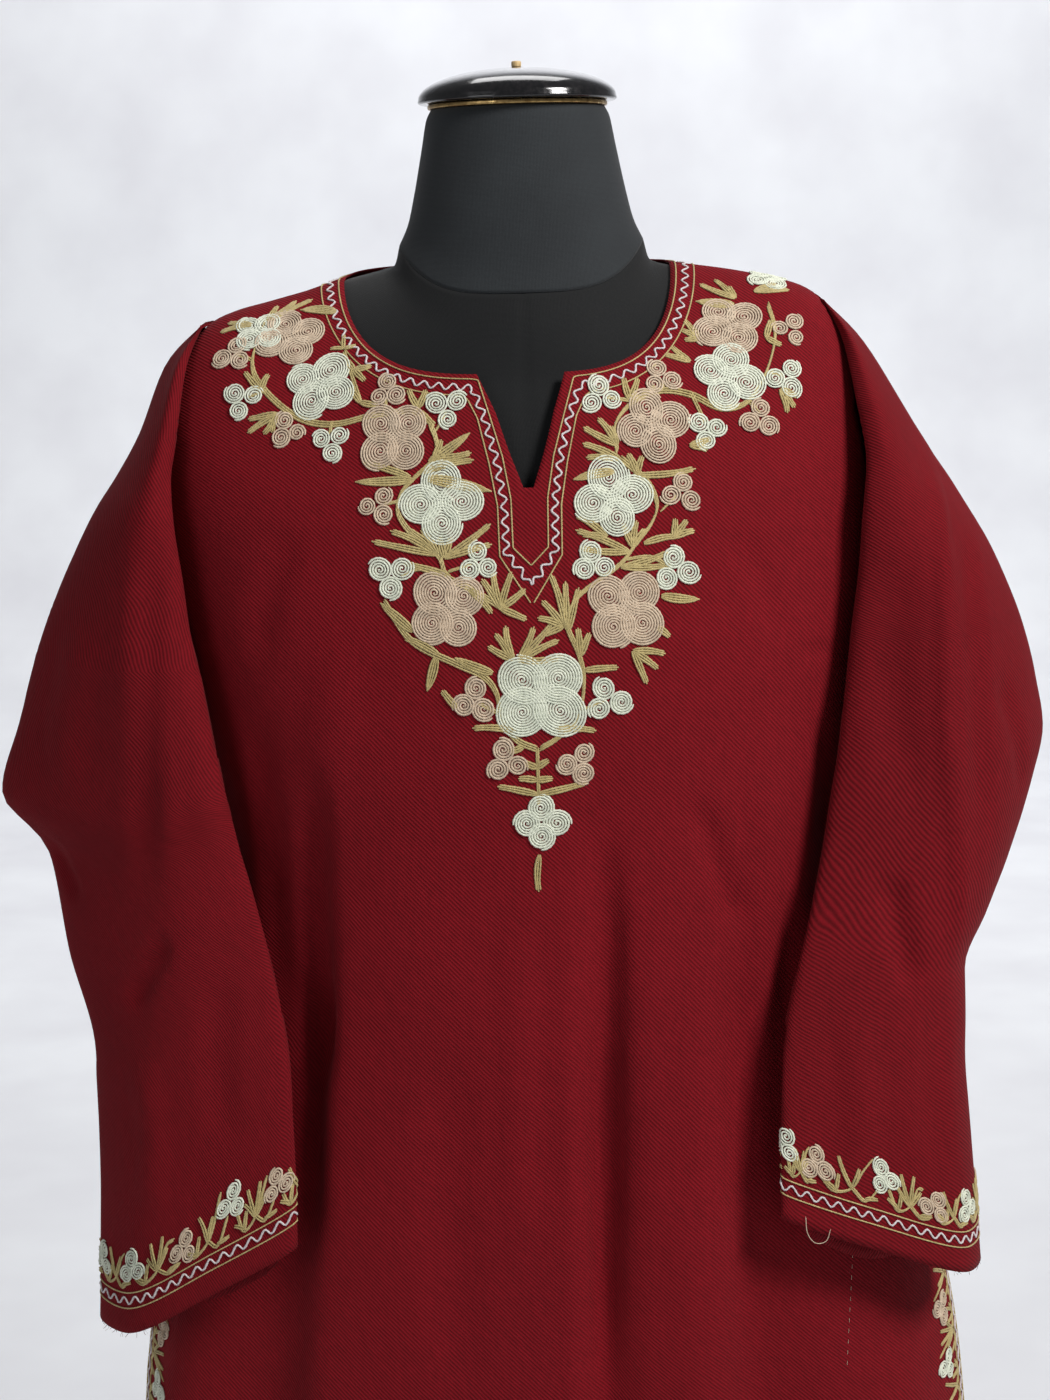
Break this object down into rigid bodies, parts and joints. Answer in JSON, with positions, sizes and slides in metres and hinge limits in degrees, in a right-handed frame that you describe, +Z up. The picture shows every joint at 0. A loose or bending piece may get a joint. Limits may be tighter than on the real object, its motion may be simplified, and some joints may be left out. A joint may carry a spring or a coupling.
{
  "type": "embroidered wool pheran tunic on a limbless dress form with stand",
  "caption": "Loose wool tunic with a notched round neck, long set-in sleeves and open side slits, hanging on a limbless dress form on a round-footed stand.",
  "frame": {"origin": "centre of the stand foot's underside, on the floor", "axes": "+Z up along the stand's pole, -Y the way the garment's front faces, +X towards the wearer's left sleeve"},
  "size_m": [0.704, 0.36, 1.5279],
  "materials": {
    "wool_front": "fine maroon wool twill",
    "wool_back": "fine maroon wool twill",
    "wool_sleeve_left": "fine maroon wool twill",
    "wool_sleeve_right": "fine maroon wool twill",
    "form_jersey": "black knitted jersey stretched over the form",
    "brass": "thin polished brass ring",
    "black_lacquer": "glossy black domed cap",
    "pale_wood": "pale turned wood",
    "black_steel": "satin black powder coat"
  },
  "bodies": {
    "root": {"front_panel": "wool_front", "back_panel": "wool_back", "sleeve_left": "wool_sleeve_left", "sleeve_right": "wool_sleeve_right", "form_torso": "form_jersey", "form_neck": "form_jersey", "cap_ring": "brass", "neck_cap": "black_lacquer", "cap_peg": "pale_wood", "stand_flange": "black_steel", "stand_pole": "black_steel", "stand_foot": "black_steel"}
  },
  "joints": []
}
